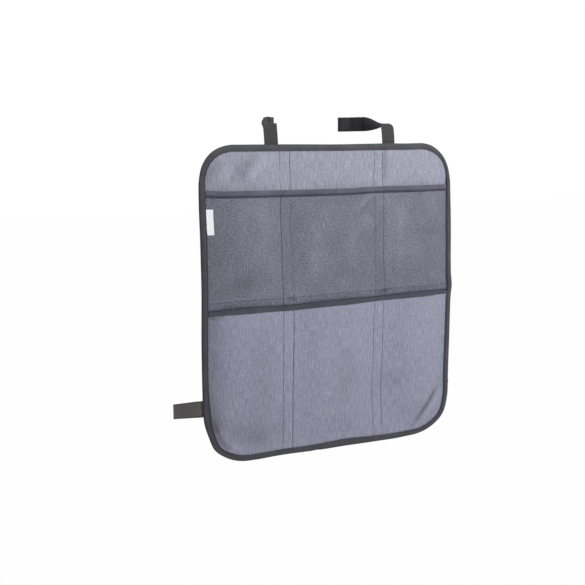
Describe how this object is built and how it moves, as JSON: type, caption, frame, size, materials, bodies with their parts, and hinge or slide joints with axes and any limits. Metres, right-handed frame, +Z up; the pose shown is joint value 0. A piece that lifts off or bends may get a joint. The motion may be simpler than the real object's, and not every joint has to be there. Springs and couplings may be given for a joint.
{
  "type": "car seat back protector",
  "caption": "Bound fabric mat that hangs on the back of a car seat, with mesh and cloth pocket rows, webbing loops for the headrest posts and an elastic band.",
  "frame": {"origin": "centre of the back panel's rear face, which lies against the seat back", "axes": "+Z up as hung, +Y towards the seat, so the pockets face -Y, and +X to the right of a viewer who faces the pockets"},
  "size_m": [0.5098, 0.1343, 0.5764],
  "materials": {
    "heather_cloth": "heather grey woven polyester, matt",
    "mesh_cloth": "dark grey net over heather cloth, matt",
    "binding_tape": "dark grey folded grosgrain tape",
    "webbing": "dark grey ribbed webbing",
    "elastic": "dark brownish grey woven elastic",
    "label_cloth": "plain white satin ribbon"
  },
  "bodies": {
    "root": {"back_panel": "heather_cloth", "edge_binding": "binding_tape", "mesh_pocket": "mesh_cloth", "mesh_pocket_binding": "binding_tape", "lower_pocket": "heather_cloth", "lower_pocket_binding": "binding_tape", "side_label": "label_cloth", "strap_left": "webbing", "strap_right": "webbing", "elastic_band": "elastic"}
  },
  "joints": []
}
